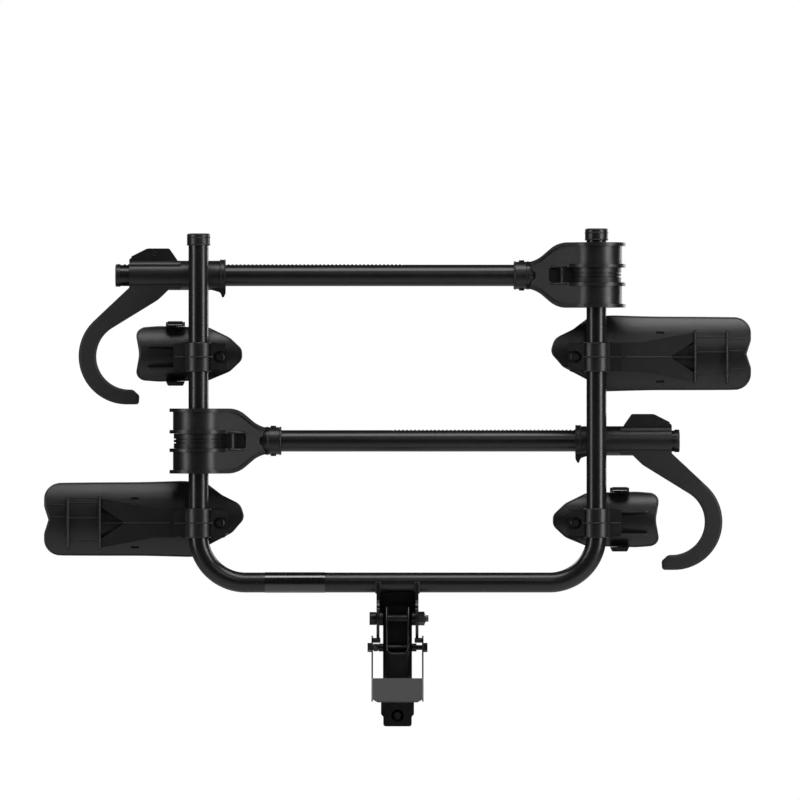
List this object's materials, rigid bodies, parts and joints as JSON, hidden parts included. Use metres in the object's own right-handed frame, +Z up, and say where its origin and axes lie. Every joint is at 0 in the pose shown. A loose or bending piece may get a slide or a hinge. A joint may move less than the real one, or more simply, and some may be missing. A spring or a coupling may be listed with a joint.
{
  "type": "hitch mounted bike rack",
  "caption": "Platform bike rack on a square hitch stinger: folding tube frame, wheel trays and swinging arms with ratchet hooks.",
  "frame": {"origin": "centre of the hitch pin hole, on the stinger's axis", "axes": "+X along the hitch pin, to the right seen from behind the car; +Y along the stinger towards the car; +Z up"},
  "size_m": [1.416, 0.4026, 0.995],
  "materials": {
    "frame_paint": "satin black powder coat",
    "moulded_black": "fine-grained glass-filled nylon",
    "hook_black": "smooth soft-touch moulding",
    "gloss_black": "gloss",
    "black_steel": "black oxide",
    "bright_steel": "zinc plated",
    "tread_grey": "grey textured coat",
    "strap_black": "flexible toothed strap"
  },
  "bodies": {
    "hitch": {"stinger_tube": "frame_paint", "stinger_socket": "frame_paint", "mast": "frame_paint", "draw_bolt_guides": "black_steel", "fold_pivot_bolt": "black_steel", "fold_pivot_nut": "bright_steel", "pivot_bushes": "black_steel", "pedal_bolt": "black_steel", "pedal_nut": "bright_steel", "pedal_spacers": "black_steel", "pedal_spring": "bright_steel"},
    "draw_bolt": {"draw_bolt": "black_steel", "wedge_nut": "black_steel"},
    "wedge": {"wedge": "black_steel"},
    "pedal": {"pedal_arms": "frame_paint", "pedal_tread": "tread_grey", "latch_pins": "black_steel"},
    "frame": {"bracket_plates": "frame_paint", "bracket_web": "frame_paint", "cross_tube": "frame_paint", "gloss_band": "gloss_black", "right_upright": "frame_paint", "left_upright": "frame_paint", "right_corner_bend": "frame_paint", "left_corner_bend": "frame_paint", "end_caps": "moulded_black", "hub_bolts": "black_steel", "tray_clamps": "moulded_black", "clamp_bolts": "black_steel", "wheel_straps": "strap_black", "strap_fittings": "moulded_black", "lower_hub": "black_steel", "lower_long_tray": "moulded_black", "lower_short_tray": "moulded_black", "upper_hub": "black_steel", "upper_long_tray": "moulded_black", "upper_short_tray": "moulded_black"},
    "lower_arm": {"lower_yoke": "moulded_black", "lower_collar_screws": "black_steel", "lower_arm_tube": "frame_paint", "lower_rack": "moulded_black", "lower_arm_plug": "moulded_black"},
    "lower_slider": {"lower_slider": "moulded_black", "lower_hook": "hook_black", "lower_ratchet_housing": "moulded_black", "lower_lever_pin": "black_steel"},
    "lower_lever": {"lower_release_lever": "moulded_black"},
    "lower_buckle": {"lower_buckle_lever": "moulded_black"},
    "upper_arm": {"upper_yoke": "moulded_black", "upper_collar_screws": "black_steel", "upper_arm_tube": "frame_paint", "upper_rack": "moulded_black", "upper_arm_plug": "moulded_black"},
    "upper_slider": {"upper_slider": "moulded_black", "upper_hook": "hook_black", "upper_ratchet_housing": "moulded_black", "upper_lever_pin": "black_steel"},
    "upper_lever": {"upper_release_lever": "moulded_black"},
    "upper_buckle": {"upper_buckle_lever": "moulded_black"}
  },
  "joints": [
    {"name": "fold", "type": "hinge", "parent": "hitch", "child": "frame", "pos_m": [0, -0.2, 0.18], "axis": [1, 0, 0], "range_deg": [0, 110]},
    {"name": "pedal_press", "type": "hinge", "parent": "hitch", "child": "pedal", "pos_m": [0, -0.2, 0.122], "axis": [1, 0, 0], "range_deg": [0, 12], "stiffness_Nm_per_rad": 3, "springref_deg": -22.92},
    {"name": "draw_turn", "type": "hinge", "parent": "hitch", "child": "draw_bolt", "pos_m": [0, 0, -0.0135], "axis": [0, 1, 0], "range_deg": [0, 1080]},
    {"name": "wedge_slide", "type": "slide", "parent": "hitch", "child": "wedge", "axis": [0, -0.5, 0.866], "range_m": [0, 0.005]},
    {"name": "lower_arm_swing", "type": "hinge", "parent": "frame", "child": "lower_arm", "pos_m": [-0.398, -0.2, 0.535], "axis": [0, 0, 1], "range_deg": [0, 120]},
    {"name": "lower_hook_slide", "type": "slide", "parent": "lower_arm", "child": "lower_slider", "axis": [-1, 0, 0], "range_m": [0, 0.3]},
    {"name": "lower_lever_press", "type": "hinge", "parent": "lower_slider", "child": "lower_lever", "pos_m": [0.499, -0.132, 0.578], "axis": [0, 1, 0], "range_deg": [0, 6], "stiffness_Nm_per_rad": 0.5, "springref_deg": -17.19},
    {"name": "lower_buckle_open", "type": "hinge", "parent": "frame", "child": "lower_buckle", "pos_m": [0.445, -0.152, 0.4385], "axis": [-1, 0, 0], "range_deg": [0, 90]},
    {"name": "upper_arm_swing", "type": "hinge", "parent": "frame", "child": "upper_arm", "pos_m": [0.398, -0.2, 0.867], "axis": [0, 0, -1], "range_deg": [0, 120]},
    {"name": "upper_hook_slide", "type": "slide", "parent": "upper_arm", "child": "upper_slider", "axis": [1, 0, 0], "range_m": [0, 0.3]},
    {"name": "upper_lever_press", "type": "hinge", "parent": "upper_slider", "child": "upper_lever", "pos_m": [-0.487, -0.132, 0.91], "axis": [0, -1, 0], "range_deg": [0, 6], "stiffness_Nm_per_rad": 0.5, "springref_deg": -17.19},
    {"name": "upper_buckle_open", "type": "hinge", "parent": "frame", "child": "upper_buckle", "pos_m": [-0.445, -0.152, 0.7705], "axis": [-1, 0, 0], "range_deg": [0, 90]}
  ],
  "couplings": [
    {"joint": "draw_turn", "follows": "wedge_slide", "rad_per_m": 3769.9}
  ]
}
